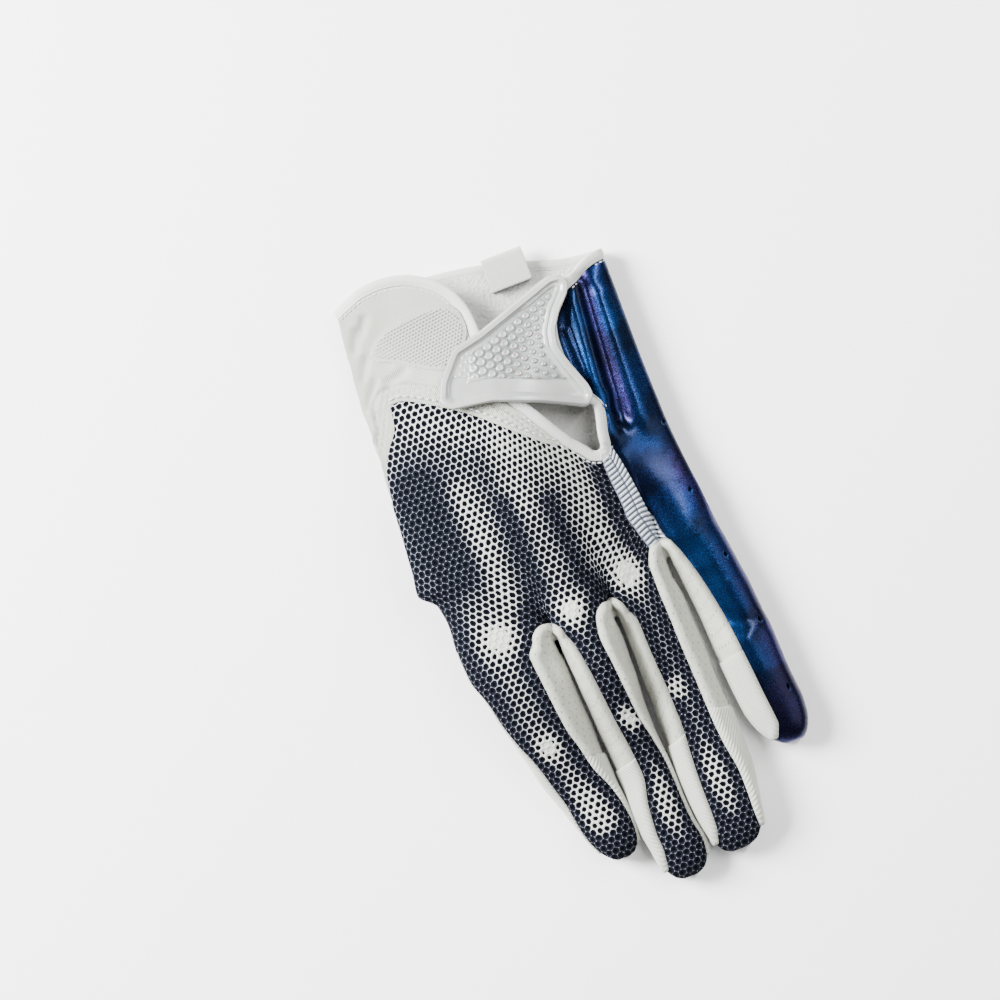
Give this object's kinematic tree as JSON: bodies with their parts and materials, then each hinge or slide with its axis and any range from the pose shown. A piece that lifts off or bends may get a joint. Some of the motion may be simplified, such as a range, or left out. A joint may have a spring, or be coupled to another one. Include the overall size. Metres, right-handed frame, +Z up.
{
  "type": "football receiver glove",
  "caption": "Left-hand football receiver glove lying palm down: printed mesh back, iridescent film palm, white side walls, slit cuff with a moulded silicone tab.",
  "frame": {"origin": "middle of the bounding box, on the surface that the glove lies on", "axes": "+X across the hand towards the little finger, the fingers point along -Y and the cuff opens along +Y, +Z up out of the back of the hand"},
  "size_m": [0.102, 0.2122, 0.0253],
  "materials": {
    "film": "iridescent film, satin metallic",
    "printed_mesh": "printed spacer mesh, matte",
    "white_cloth": "white stretch cloth, matte",
    "white_leather": "perforated white synthetic leather, matte",
    "rib_knit": "white ribbed knit, matte",
    "binding": "white knitted binding, matte",
    "lining": "light grey pebbled lining, matte",
    "silicone": "translucent white silicone, satin"
  },
  "bodies": {
    "root": {"palm_panel": "film", "back_mesh_panel": "printed_mesh", "wrist_panel": "white_cloth", "thumb_front": "film", "thumb_tip_cap": "film", "gusset_index_middle": "white_leather", "gusset_middle_ring": "white_leather", "gusset_ring_little": "white_leather", "index_thumb_side_strip": "rib_knit", "index_inner_strip": "rib_knit", "middle_index_side_strip": "rib_knit", "middle_ring_side_strip": "rib_knit", "ring_middle_side_strip": "rib_knit", "ring_little_side_strip": "rib_knit", "little_inner_strip": "rib_knit", "rib_insert": "rib_knit", "cuff_binding": "binding", "cuff_lining": "lining", "pull_loop": "binding", "loop_pad": "white_cloth", "closure_strap": "film", "closure_tab": "silicone"}
  },
  "joints": []
}
